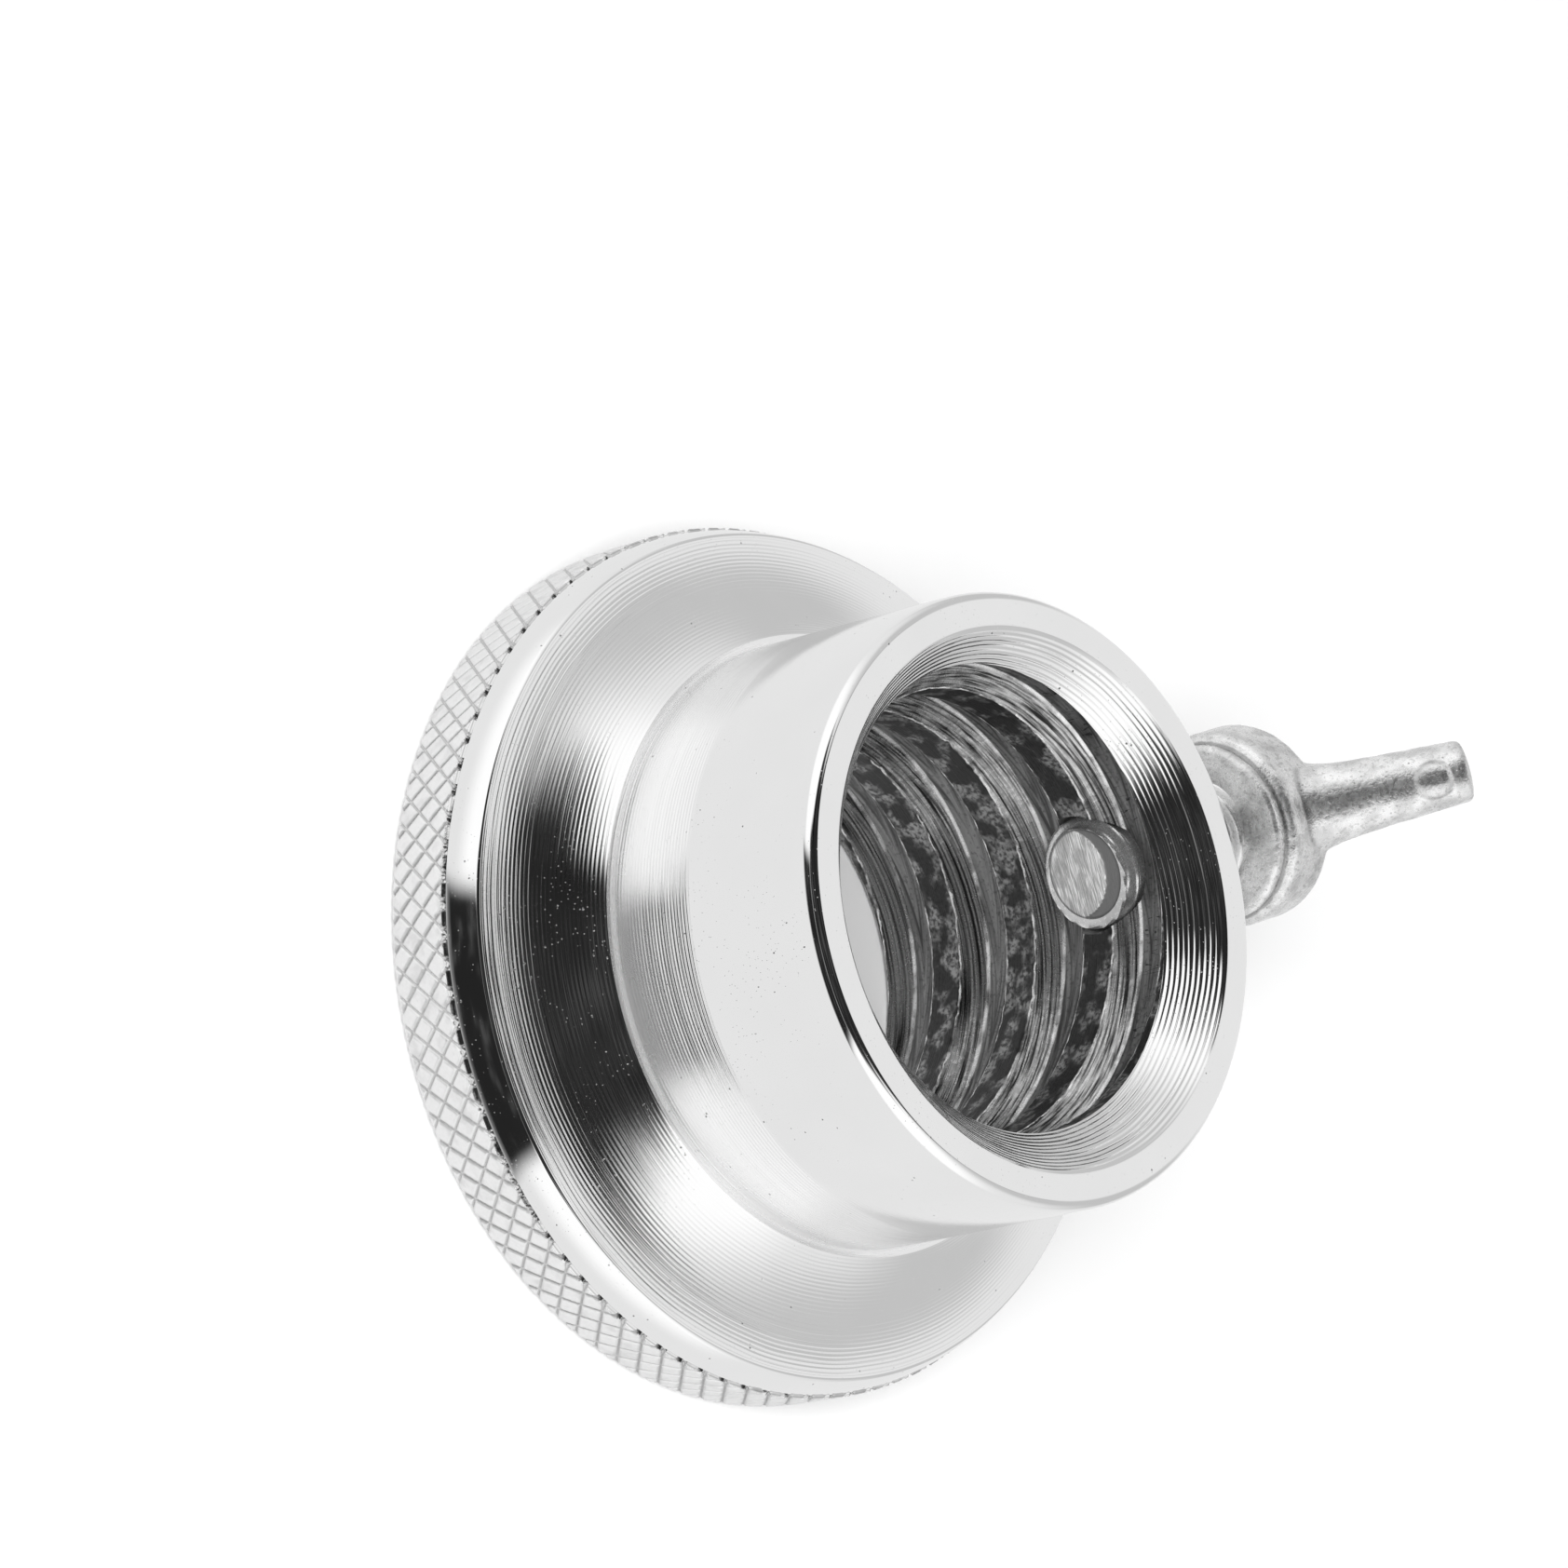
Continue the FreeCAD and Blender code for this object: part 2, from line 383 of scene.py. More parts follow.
class Shell:
    """Collects grids of points into one closed mesh, with two numbers kept for each face corner."""

    def __init__(self):
        self.points = []
        self.stored = []
        self.faces = []
        self.slots = []
        self.count = 0

    def add(self, grid, faces, slot=0, along=0.0, strength=0.0):
        points = grid.reshape(-1, 3)
        pair = [np.broadcast_to(value, len(points)) for value in (along, strength)]
        self.points.append(points)
        self.stored.append(np.stack(pair, axis=1))
        self.faces.append(faces + self.count)
        self.slots.append(np.broadcast_to(slot, len(faces)))
        self.count += len(points)

    def add_round(self, grid, *values, flipped=False):
        """Adds a grid whose columns go once round."""
        faces = quads(*grid.shape[:2], wrap=True)
        self.add(grid, faces[:, ::-1] if flipped else faces, *values)

    def mesh(self, name, materials):
        """One mesh, with coinciding points joined and the faces that close up left out."""
        points = np.concatenate(self.points)
        stored = np.concatenate(self.stored)
        faces = np.concatenate(self.faces)
        slots = np.concatenate(self.slots)
        keys = np.round(points / JOIN_DISTANCE).astype(np.int64)
        _, first, same = np.unique(keys, axis=0, return_index=True, return_inverse=True)
        same = same.reshape(-1)
        polygons = []
        corners = []
        kept_slots = []
        for face, source, slot in zip(same[faces].tolist(), faces.tolist(), slots.tolist()):
            kept = [k for k, vertex in enumerate(face) if vertex != face[k - 1]]
            ring = [face[k] for k in kept]
            if len(ring) > 2 and len(set(ring)) == len(ring):
                polygons.append(ring)
                corners += [source[k] for k in kept]
                kept_slots.append(slot)
        mesh = bpy.data.meshes.new(name)
        mesh.from_pydata(points[first].tolist(), [], polygons)
        for material in materials:
            mesh.materials.append(material)
        mesh.polygons.foreach_set("material_index", kept_slots)
        for column, label in enumerate(("along", "strength")):
            attribute = mesh.attributes.new(label, "FLOAT", "CORNER")
            attribute.data.foreach_set("value", stored[corners, column].astype(np.float32))
        return mesh


def linked(name, mesh):
    thing = bpy.data.objects.new(name, mesh)
    bpy.context.scene.collection.objects.link(thing)
    return thing


def applied(mesh, modifiers):
    """The mesh after Blender modifiers, each given as its type and settings."""
    scratch = linked("scratch", mesh)
    for kind, settings in modifiers:
        modifier = scratch.modifiers.new(kind, kind)
        for key, value in settings.items():
            setattr(modifier, key, value)
    evaluated = scratch.evaluated_get(bpy.context.evaluated_depsgraph_get())
    result = bpy.data.meshes.new_from_object(evaluated)
    bpy.data.objects.remove(scratch)
    return result


def finished_piece(name, mesh, body, node):
    """Links a mesh built in millimetres as a piece that rides on a body and stands for a CAD node."""
    mesh.transform(Matrix.Scale(MM, 4))
    mesh.shade_smooth()
    mesh.set_sharp_from_angle(angle=math.radians(SHARP_EDGE))
    mesh.name = name
    piece = linked(name, mesh)
    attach(piece, body)
    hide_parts(node)
    return piece


def helical_grid(pitch, stretches, low, high, columns):
    """Angle and height grids whose rows run along a helix, held between two heights.

    Each stretch of one pitch is a length and the number of cells it is cut into.
    """
    phases = []
    start = 0.0
    for length, count in stretches:
        phases += [start + length * k / count for k in range(count)]
        start += length
    first = math.floor(low / pitch) - 2
    last = math.ceil(high / pitch) + 1
    starts = np.arange(first, last + 1) * pitch
    rows = (starts[:, None] + np.array(phases)[None, :]).ravel()
    angle, row = np.meshgrid(np.linspace(0, TURN, columns + 1), rows)
    return angle, np.clip(row + pitch * angle / TURN, low, high)


def helical_faces(height):
    """The quads of a helical grid, without those held flat at its two ends."""
    faces = quads(*height.shape, wrap=False)
    span = height.ravel()[faces]
    return faces[span.max(axis=1) > span.min(axis=1)]


# -------- collar


def groove_offset(angle, height):
    """Height above the middle of the nearest turn of the thread's groove."""
    offset = height - GROOVE_START - THREAD_PITCH * angle / TURN
    return (offset + THREAD_PITCH / 2) % THREAD_PITCH - THREAD_PITCH / 2


def bore_surface(angle, height):
    """The bore's wall radius: thread crests and grooves, opened by the bevel at the back."""
    offset = np.abs(groove_offset(angle, height))
    nominal = round_the_axis(BORE_RADIUS, angle, height)
    chips = np.maximum(noise(nominal, *CHIP_NOISE) - CHIP_START, 0)
    crest_edge = ROOT_HALF_WIDTH + THREAD_DEPTH - offset
    depth = np.clip(crest_edge + layered(nominal, CREST_WAVES), 0, THREAD_DEPTH)
    depth += CHIP_DEPTH * chips * np.exp(-((crest_edge / CHIP_REACH) ** 2))
    length, width = RIDGE_CELL
    stretched = np.stack([nominal[..., 0] / length, nominal[..., 1] / length, offset / width], axis=-1)
    ridges = RIDGE_HEIGHT * noise(stretched, 1.0, RIDGE_SEED) * smoothstep(depth, *RIDGE_START)
    worn = layered(nominal, BORE_WEAR)
    radius = BORE_RADIUS + np.maximum(depth + worn + ridges, 0)
    return np.maximum(radius, BORE_RADIUS + BACK_BEVEL - height)


def lathe_section():
    """The collar's outside from its back to its mouth: points, and how strongly each is grooved."""
    corner = MOUTH_CORNER
    top = COLLAR_HEIGHT
    centre = (NECK_MOUTH_RADIUS - corner, top - corner)
    diagonal = corner * math.sqrt(0.5)
    corner_middle = (centre[0] + diagonal, centre[1] + diagonal)
    neck_top = (NECK_MOUTH_RADIUS, top - corner)
    rim = arc_points(RIM_FOOT, RIM_BULGE, RIM_RIDGE, 24)
    cove = arc_points(RIM_RIDGE, COVE_MIDDLE, NECK_FOOT, 100)
    ridge_top = (RIM_RIDGE[0] - 0.02, RIM_RIDGE[1] - 0.03)
    last_cove = next(k for k, point in enumerate(cove) if point[0] < NECK_FOOT[0] + NECK_LAND)
    land = (NECK_FOOT[0], cove[last_cove - 1][1])
    seat_foot = (KNURL_SEAT_RADIUS, 0)
    seat_top = (KNURL_SEAT_RADIUS, KNURL_TOP - 0.1)
    runs = [
        (line_points((BACK_FACE_START, 0), seat_foot, 24), BACK_GROOVING),
        (line_points(seat_foot, seat_top, 2), 0.0),
        (line_points(seat_top, RIM_FOOT, 2), 0.0),
        (rim[:-2], RIM_GROOVING),
        (arc_points(rim[-3], ridge_top, cove[2], 8), 0.0),
        (cove[3:last_cove], 1.0),
        (line_points(cove[last_cove - 1], land, 3), 0.0),
        (line_points(land, NECK_MIDDLE, 20), NECK_FOOT_GROOVING),
        (line_points(NECK_MIDDLE, neck_top, 30), NECK_GROOVING),
        (arc_points(neck_top, corner_middle, (centre[0], top), 10), 0.0),
        (line_points((centre[0], top), (BORE_RADIUS + MOUTH_BEVEL, top), 8), MOUTH_GROOVING),
    ]
    section = [point for points, _ in runs for point in points]
    grooving = [strength for points, strength in runs for _ in points]
    return np.array(section), np.array(grooving)


def collar_mesh(materials):
    """The turned collar, all but its knurled band, with the hole for the screw cut through the neck."""
    shell = Shell()
    flank = THREAD_DEPTH
    crest = THREAD_PITCH - 2 * (ROOT_HALF_WIDTH + flank)
    start = GROOVE_START % THREAD_PITCH
    stretches = [(ROOT_HALF_WIDTH, 7), (flank, 13), (crest, 14), (flank, 13), (ROOT_HALF_WIDTH, 7)]
    low, high = -start, COLLAR_HEIGHT - start
    angle, height = helical_grid(THREAD_PITCH, stretches, low, high, COLLAR_COLUMNS)
    height = height + start
    wall = round_the_axis(bore_surface(angle, height), angle, height)
    beside = np.abs(groove_offset(angle, height)).ravel()
    shell.add(wall, helical_faces(height), BORE_SLOT, beside)

    section, grooving = lathe_section()
    around = round_turn(COLLAR_COLUMNS)
    back, mouth = bore_surface(around, 0), bore_surface(around, COLLAR_HEIGHT)
    radius = np.vstack([back, np.repeat(section[:, :1], COLLAR_COLUMNS, axis=1), mouth])
    height = np.concatenate([[0], section[:, 1], [COLLAR_HEIGHT]])[:, None]
    steps = np.hypot(*np.diff(section, axis=0).T)
    along = np.concatenate([[0, 0], np.cumsum(steps), [0]])
    grooving = np.concatenate([[BACK_GROOVING], grooving, [0]])
    turned = round_the_axis(radius, around, height)
    stored = (np.repeat(values, COLLAR_COLUMNS) for values in (along, grooving))
    shell.add_round(turned, CHROME_SLOT, *stored, flipped=True)
    cutters = [linked("cutter", mesh) for mesh in (hole_mesh(materials), bevel_mesh(materials))]
    how = {"operation": "DIFFERENCE", "solver": "EXACT"}
    cuts = [("BOOLEAN", {"object": cutter, **how}) for cutter in cutters]
    result = applied(shell.mesh("collar_turned", materials), cuts)
    for cutter in cutters:
        bpy.data.objects.remove(cutter)
    return result


def bevel_mesh(materials):
    """What is cut away at the mouth: the bore's bevel, with a small rounded lip at its edge."""
    edge = BORE_RADIUS + MOUTH_BEVEL
    top = COLLAR_HEIGHT
    depth = MOUTH_BEVEL + 1
    inner_lip = (edge - LIP, top - LIP)
    outer_lip = (edge + LIP, top)
    section = [(0, top - depth), (edge - depth, top - depth), inner_lip]
    section += arc_points(inner_lip, (edge + LIP_MIDDLE[0], top + LIP_MIDDLE[1]), outer_lip, 4)
    section += [(edge + LIP + CUTTER_REACH, top + CUTTER_REACH), (0, top + CUTTER_REACH)]
    section = np.array(section)
    grid = round_the_axis(section[:, :1], round_turn(COLLAR_COLUMNS), section[:, 1:])
    along = np.repeat((top - section[:, 1]) * math.sqrt(2) * TURNING_PITCH / BEVEL_PITCH, COLLAR_COLUMNS)
    grooving = np.repeat(np.where(section[:, 1] < top - 0.01, BEVEL_GROOVING, 0.0), COLLAR_COLUMNS)
    shell = Shell()
    shell.add_round(grid, CHROME_SLOT, along, grooving)
    return shell.mesh("bevel", materials)


def about_screw_axis(section, columns):
    """A grid turned about the screw's axis from rows of radius and distance from the bore's axis."""
    section = np.array(section, float)
    angle = round_turn(columns)
    x, z = section[:, :1] * np.sin(angle), SCREW_HEIGHT + section[:, :1] * np.cos(angle)
    return np.stack([x, section[:, 1:] * np.ones_like(angle), z], axis=-1)


def hole_mesh(materials):
    """What is cut away for the screw: a round hole that opens out where it leaves the neck."""
    neck = NECK_FOOT[0]
    section = [
        (0, HOLE_START),
        (HOLE_RADIUS, HOLE_START),
        (HOLE_RADIUS, neck - HOLE_COUNTERSINK),
        (HOLE_RADIUS + 2 * HOLE_COUNTERSINK, neck + HOLE_COUNTERSINK),
        (0, neck + HOLE_COUNTERSINK),
    ]
    shell = Shell()
    shell.add_round(about_screw_axis(section, HOLE_COLUMNS), BORE_SLOT)
    return shell.mesh("hole", materials)


def knurl_mesh(materials):
    """The knurled band: flat pads between two crossing sets of rolled grooves."""
    around = round_turn(KNURL_COLUMNS)
    top = KNURL_TOP - 0.02
    angle, height = np.meshgrid(around, np.linspace(BACK_EDGE, top, KNURL_ROWS))
    turns = DIAMONDS * angle / TURN
    rise = height / DIAMOND_HEIGHT
    width = TURN * FLANGE_RADIUS / DIAMONDS
    spacing = width * DIAMOND_HEIGHT / math.hypot(width, DIAMOND_HEIGHT)
    rising = np.abs((turns + rise + 0.5) % 1 - 0.5)
    falling = np.abs((turns - rise + 0.5) % 1 - 0.5)
    distance = np.minimum(rising, falling) * spacing

    points = round_the_axis(FLANGE_RADIUS, angle, height)
    uneven = noise(points, *KNURL_UNEVENNESS)
    fine = noise(points, *KNURL_GRAIN)
    groove_width = KNURL_GROOVE * (1 + 0.25 * uneven)
    groove = 1 - smoothstep(distance, 0.02, groove_width)
    burr = np.exp(-(((distance - groove_width - BURR_OFFSET) / BURR_WIDTH) ** 2))
    run_out = 1 + KNURL_RUN_OUT * smoothstep(height, top - 0.7, top - 0.1)
    radius = FLANGE_RADIUS - KNURL_CLEARANCE - KNURL_DEPTH * run_out * groove + BURR_HEIGHT * burr
    radius += 0.008 * uneven + 0.004 * fine
    radius -= KNURL_EDGE * (1 - smoothstep(top - height, 0.0, KNURL_EDGE + 0.12 * uneven))

    inside = KNURL_SEAT_RADIUS - 0.1
    closing = [(inside, top), (inside, KNURL_FOOT), (FLANGE_RADIUS - BACK_EDGE, KNURL_FOOT)]
    rings = [round_the_axis(r, around, z) for r, z in closing]
    band = round_the_axis(radius, angle, height)
    shell = Shell()
    shell.add_round(np.concatenate([band, rings, band[:1]]))
    return shell.mesh("collar_knurl", materials)


# -------- wing screw


def stud_surface(angle, height):
    """The stud's radius: an M8 thread, cut back by the chamfer at the end that meets the bar."""
    offset = (height - SCREW_PITCH * angle / TURN) % SCREW_PITCH
    falling = smoothstep(offset, CREST_FLAT, CREST_FLAT + THREAD_SLOPE)
    rising = smoothstep(offset, SCREW_PITCH - THREAD_SLOPE, SCREW_PITCH)
    points = round_the_axis(STUD_RADIUS, angle, height)
    worn = layered(points, STUD_WEAR)
    radius = STUD_RADIUS - STUD_CLEARANCE - SCREW_THREAD_DEPTH * (falling - rising) + worn
    return np.minimum(radius, TIP_FACE_RADIUS + TIP_SLOPE * height)


def stud_mesh(materials):
    """The threaded stud, with a ground end that has a lower crescent at one side."""
    stretches = [(CREST_FLAT, 2), (THREAD_SLOPE, 6), (2 * CREST_FLAT, 3), (THREAD_SLOPE, 6)]
    angle, height = helical_grid(SCREW_PITCH, stretches, 0, STUD_LENGTH, STUD_COLUMNS)
    shell = Shell()
    radius = stud_surface(angle, height)
    below_cone = (TIP_FACE_RADIUS + TIP_SLOPE * height - radius).ravel()
    shell.add(round_the_axis(radius, angle, height), helical_faces(height), THREAD_SLOT, below_cone)

    around = round_turn(STUD_COLUMNS)
    share, turn = np.meshgrid(np.linspace(1, 0, TIP_RINGS), around, indexing="ij")
    tip = round_the_axis(TIP_FACE_RADIUS * share, turn, 0)
    toward = np.array([math.cos(CRESCENT_TURN), -math.sin(CRESCENT_TURN)])
    away = tip[..., :2] + toward * CRESCENT_WIDTH
    reach = np.hypot(away[..., 0], away[..., 1])
    lowered = smoothstep(reach, TIP_FACE_RADIUS - CRESCENT_EDGE, TIP_FACE_RADIUS)
    tip[..., 2] = CRESCENT_DEPTH * lowered * smoothstep(1 - share, 0.0, 0.06)
    shell.add_round(tip, TIP_SLOT, share.ravel())

    rims = np.stack([stud_surface(around, STUD_LENGTH), 0 * around])
    shell.add_round(round_the_axis(rims, around, STUD_LENGTH), THREAD_SLOT, flipped=True)
    mesh = shell.mesh("screw_threaded", materials)
    along_screw = ((1, 0, 0, 0), (0, 0, 1, TIP_DISTANCE), (0, -1, 0, SCREW_HEIGHT), (0, 0, 0, 1))
    mesh.transform(Matrix(along_screw))
    return mesh


def hub_grid():
    """The hub's turned shape in front of its back disc: a straight side and a crowned front."""
    crown_height = HUB_CROWN_TOP - HUB_CROWN_START
    sphere = (HUB_RADIUS**2 + crown_height**2) / (2 * crown_height)
    middle = math.asin(HUB_RADIUS / sphere) / 2
    crown_middle = (sphere * math.sin(middle), HUB_CROWN_TOP - sphere * (1 - math.cos(middle)))
    back = HUB_BACK + ((HUB_RADIUS, HUB_SIDE_START),)
    corners = [(radius, HEAD_BACK + rise) for radius, rise in back] + [(HUB_RADIUS, HUB_CROWN_START)]
    section = corners[:4]
    for start, end, count in zip(corners[3:], corners[4:], (4, 3, 8)):
        section += line_points(start, end, count)
    section += arc_points(corners[-1], crown_middle, (0, HUB_CROWN_TOP), 20)
    return about_screw_axis(section, HUB_COLUMNS)


def ear_grid(side):
    """One ear as a loft of rounded sections from inside the hub to the rounded tip."""
    lower = [EAR_ROOT_LOW, EAR_FOOT] + arc_points(EAR_FOOT, EAR_EDGE_MIDDLE, EAR_CORNER, EAR_STEPS)
    upper = [EAR_ROOT_HIGH, EAR_INNER_FOOT] + arc_points(EAR_INNER_FOOT, EAR_HOLLOW, EAR_TOP, EAR_STEPS)
    lower, upper = np.array(lower), np.array(upper)
    centre = (lower + upper) / 2
    half = (upper - lower) / 2
    offset = centre[:, 0]
    taper = (EAR_TIP_OFFSET - offset) / (EAR_TIP_OFFSET - EAR_BASE_OFFSET)
    thick = EAR_TIP_THICKNESS + (EAR_BASE_THICKNESS - EAR_TIP_THICKNESS) * taper
    thick = thick + EAR_FLARE * np.exp(-np.maximum(offset - EAR_BASE_OFFSET, 0) / EAR_FLARE_LENGTH)
    breadth_scale = np.ones(len(centre))
    outward = np.array([half[-1][1], -half[-1][0]]) / np.hypot(*half[-1])
    last = len(lower) - 1
    for step, breadth, thickness in EAR_CAP:
        centre = np.vstack([centre, centre[last] + outward * step])
        half = np.vstack([half, half[last]])
        breadth_scale = np.append(breadth_scale, breadth)
        thick = np.append(thick, thick[last] * thickness)
    turn = round_turn(EAR_COLUMNS)
    across = np.sign(np.cos(turn)) * np.abs(np.cos(turn)) ** (2 / EAR_SQUARENESS)
    through = np.sign(np.sin(turn)) * np.abs(np.sin(turn)) ** (2 / EAR_SQUARENESS)
    in_plane = centre[:, None, :] + (half * breadth_scale[:, None])[:, None, :] * across[None, :, None]
    x = thick[:, None] / 2 * through[None, :]
    grid = np.stack([side * x, in_plane[..., 1], SCREW_HEIGHT + side * in_plane[..., 0]], axis=-1)
    root = np.repeat(grid[:1].mean(axis=1, keepdims=True), EAR_COLUMNS, axis=1)
    tip = np.repeat(grid[-1:].mean(axis=1, keepdims=True), EAR_COLUMNS, axis=1)
    return np.concatenate([root, grid, tip])


def boss_grid(side):
    """A low round boss on the ear's outer edge, near the tip."""
    edge = np.array(arc_points(EAR_FOOT, EAR_EDGE_MIDDLE, EAR_CORNER, EAR_STEPS))
    place = edge[BOSS_STEP]
    run = edge[BOSS_STEP + 1] - edge[BOSS_STEP - 1]
    run = run / np.hypot(*run)
    outward = np.array([run[1], -run[0]])
    turn = round_turn(BOSS_COLUMNS)
    rings = []
    for radius, lift in BOSS_RINGS:
        middle = place + outward * lift
        in_plane = middle[None, :] + run[None, :] * (radius * np.sin(turn))[:, None]
        x = BOSS_NARROWING * radius * np.cos(turn)
        rings.append(np.stack([side * x, in_plane[:, 1], SCREW_HEIGHT + side * in_plane[:, 0]], axis=-1))
    return np.array(rings)


def wing_mesh(materials):
    """Hub, ears and bosses joined and softened into one casting."""
    shell = Shell()
    for grid in (hub_grid(), ear_grid(1), ear_grid(-1)):
        shell.add_round(grid)
    remesh = ("REMESH", {"mode": "VOXEL", "voxel_size": WING_VOXEL, "adaptivity": 0.0})
    soften = ("SMOOTH", {"factor": 0.5, "iterations": WING_SMOOTHING})
    softened = applied(shell.mesh("wing_soft", materials), [remesh, soften])
    bosses = Shell()
    disc = about_screw_axis([(radius, HEAD_BACK + rise) for radius, rise in DISC_RINGS], HUB_COLUMNS)
    for grid in (boss_grid(1), boss_grid(-1), disc):
        bosses.add_round(grid)
    both = bmesh.new()
    both.from_mesh(softened)
    both.from_mesh(bosses.mesh("bosses", materials))
    both.to_mesh(softened)
    both.free()
    soften = ("SMOOTH", {"factor": 0.5, "iterations": BOSS_SMOOTHING})
    mesh = applied(softened, [remesh, soften])
    to_axis = Matrix.Translation((0, 0, SCREW_HEIGHT))
    mesh.transform(to_axis @ Matrix.Rotation(EAR_TURN, 4, "Y") @ to_axis.inverted())
    points = vertex_rows(mesh, "co")
    points += vertex_rows(mesh, "normal") * layered(points, CAST_GRAIN)[:, None]
    mesh.vertices.foreach_set("co", points.ravel())
    # How hollow each point is, which sets the painted shade in the casting's material
    attribute = mesh.attributes.new("along", "FLOAT", "POINT")
    attribute.data.foreach_set("value", hollowness(mesh, points).astype(np.float32))
    return mesh


def vertex_rows(mesh, kind):
    """The place or the normal of each vertex, as rows of x, y, z."""
    rows = np.empty(len(mesh.vertices) * 3)
    mesh.vertices.foreach_get(kind, rows)
    return rows.reshape(-1, 3)


def hollowness(mesh, points):
    """How hollow the surface is at each point: about 1 in a tight corner, below 0 on an edge."""
    normals = vertex_rows(mesh, "normal")
    edges = np.empty(len(mesh.edges) * 2, dtype=np.int64)
    mesh.edges.foreach_get("vertices", edges)
    first, second = edges.reshape(-1, 2).T
    ends, others = np.concatenate([first, second]), np.concatenate([second, first])
    degree = np.bincount(ends, minlength=len(points))
    spread = np.stack([np.bincount(ends, points[others, k], len(points)) for k in range(3)], axis=1)
    lift = ((spread / degree[:, None] - points) * normals).sum(axis=1)
    for _ in range(HOLLOW_SMOOTHING):
        lift = 0.5 * lift + 0.5 * np.bincount(ends, lift[others], len(points)) / degree
    return lift * HOLLOW_GAIN


# -------- materials


class Nodes:
    """A node tree, with a short call for each kind of node."""

    def __init__(self, owner):
        owner.use_nodes = True
        self.tree = owner.node_tree

    def feed(self, socket, value):
        if isinstance(value, bpy.types.NodeSocket):
            self.tree.links.new(value, socket)
        else:
            socket.default_value = value

    def node(self, kind, inputs, **settings):
        made = self.tree.nodes.new(kind)
        for key, value in settings.items():
            setattr(made, key, value)
        for key, value in inputs.items():
            self.feed(made.inputs[key], value)
        return made

    def vector(self, operation, first, second=None, scale=None):
        inputs = {0: first}
        if second is not None:
            inputs[1] = second
        if scale is not None:
            inputs["Scale"] = scale
        return self.node("ShaderNodeVectorMath", inputs, operation=operation).outputs[0]

    def measure(self, operation, *vectors):
        """A number worked out from vectors, such as a length."""
        made = self.node("ShaderNodeVectorMath", dict(enumerate(vectors)), operation=operation)
        return made.outputs["Value"]

    def math(self, operation, *values):
        return self.node("ShaderNodeMath", dict(enumerate(values)), operation=operation).outputs[0]

    def times(self, first, second):
        return self.math("MULTIPLY", first, second)

    def scaled(self, value, factor, offset):
        """A value times a factor, plus an offset."""
        return self.math("MULTIPLY_ADD", value, factor, offset)

    def apart(self, first, second):
        """How far apart two values are."""
        return self.math("ABSOLUTE", self.math("SUBTRACT", first, second))

    def ramp(self, value, low, high, start=0.0, end=1.0):
        """A smooth step of a value between low and high, given out from start to end."""
        inputs = {"Value": value, "From Min": low, "From Max": high, "To Min": start, "To Max": end}
        return self.node("ShaderNodeMapRange", inputs, interpolation_type="SMOOTHSTEP").outputs["Result"]

    def fade(self, value, low, high):
        """A smooth step down, from 1 at low to 0 at high."""
        return self.ramp(value, low, high, 1.0, 0.0)


class Paint(Nodes):
    """A material's node tree; its place is the surface point in millimetres."""

    def __init__(self, name):
        self.material = bpy.data.materials.new(name)
        super().__init__(self.material)
        self.shader = self.tree.nodes["Principled BSDF"]
        place = self.tree.nodes.new("ShaderNodeTexCoord").outputs["Object"]
        self.place = self.vector("SCALE", place, scale=1 / MM)

    def noise(self, cell, detail=2.0, stretch=(1, 1, 1), place=None):
        """Noise from 0 to 1 with features about one cell, in millimetres, across."""
        where = self.vector("MULTIPLY", place or self.place, stretch)
        inputs = {"Vector": where, "Scale": 1 / cell, "Detail": detail}
        return self.node("ShaderNodeTexNoise", inputs).outputs["Fac"]

    def noise_vector(self, cell):
        """Three noises from about -0.5 to 0.5, with features about one cell across."""
        made = self.node("ShaderNodeTexNoise", {"Vector": self.place, "Scale": 1 / cell, "Detail": 2.0})
        return self.vector("SUBTRACT", made.outputs["Color"], (0.5, 0.5, 0.5))

    def spread(self, noise, start=0.0, end=1.0):
        """The common middle of a noise's range, given out from start to end."""
        return self.ramp(noise, *NOISE_MIDDLE, start, end)

    def marks(self, cell, rim, region, shown):
        """Small round marks, one in each cell, where a noise over broader regions lets them show."""
        where = self.vector("MULTIPLY", self.place, (1, 1, 1))
        cells = self.node("ShaderNodeTexVoronoi", {"Vector": where, "Scale": 1 / cell})
        round_marks = self.fade(cells.outputs["Distance"], *rim)
        return self.times(round_marks, self.ramp(self.noise(region, 3.0), *shown))

    def shifted(self, place, by, share):
        """A place moved by a share of another vector."""
        return self.vector("ADD", place, self.vector("SCALE", by, scale=share))

    def in_rows(self, along):
        """A place that changes only with a stored number, so that a texture there runs in rows."""
        return self.node("ShaderNodeCombineXYZ", {0: along, 1: 0.0, 2: 0.0}).outputs[0]

    def part(self, axis):
        return self.node("ShaderNodeSeparateXYZ", {0: self.place}).outputs[axis]

    def radius(self):
        """Distance from the bore's axis in millimetres."""
        return self.measure("LENGTH", self.vector("MULTIPLY", self.place, (1, 1, 0)))

    def attribute(self, name):
        return self.node("ShaderNodeAttribute", {}, attribute_name=name).outputs["Fac"]

    def mix(self, share, first, second):
        """A blend of two tones, each a number or a colour."""
        made = self.node("ShaderNodeMix", {"Factor": share}, data_type="RGBA")
        for socket, value in ((made.inputs[6], first), (made.inputs[7], second)):
            self.feed(socket, value if isinstance(value, bpy.types.NodeSocket) else grey(value))
        return made.outputs[2]

    def bump(self, height, depth, normal=None):
        """A bump whose height of 1 stands for a depth in millimetres."""
        inputs = {"Height": height, "Distance": depth * MM, "Strength": 1.0}
        if normal is not None:
            inputs["Normal"] = normal
        return self.node("ShaderNodeBump", inputs).outputs["Normal"]

    def set(self, **inputs):
        for key, value in inputs.items():
            self.feed(self.shader.inputs[key.replace("_", " ")], value)
        return self.material


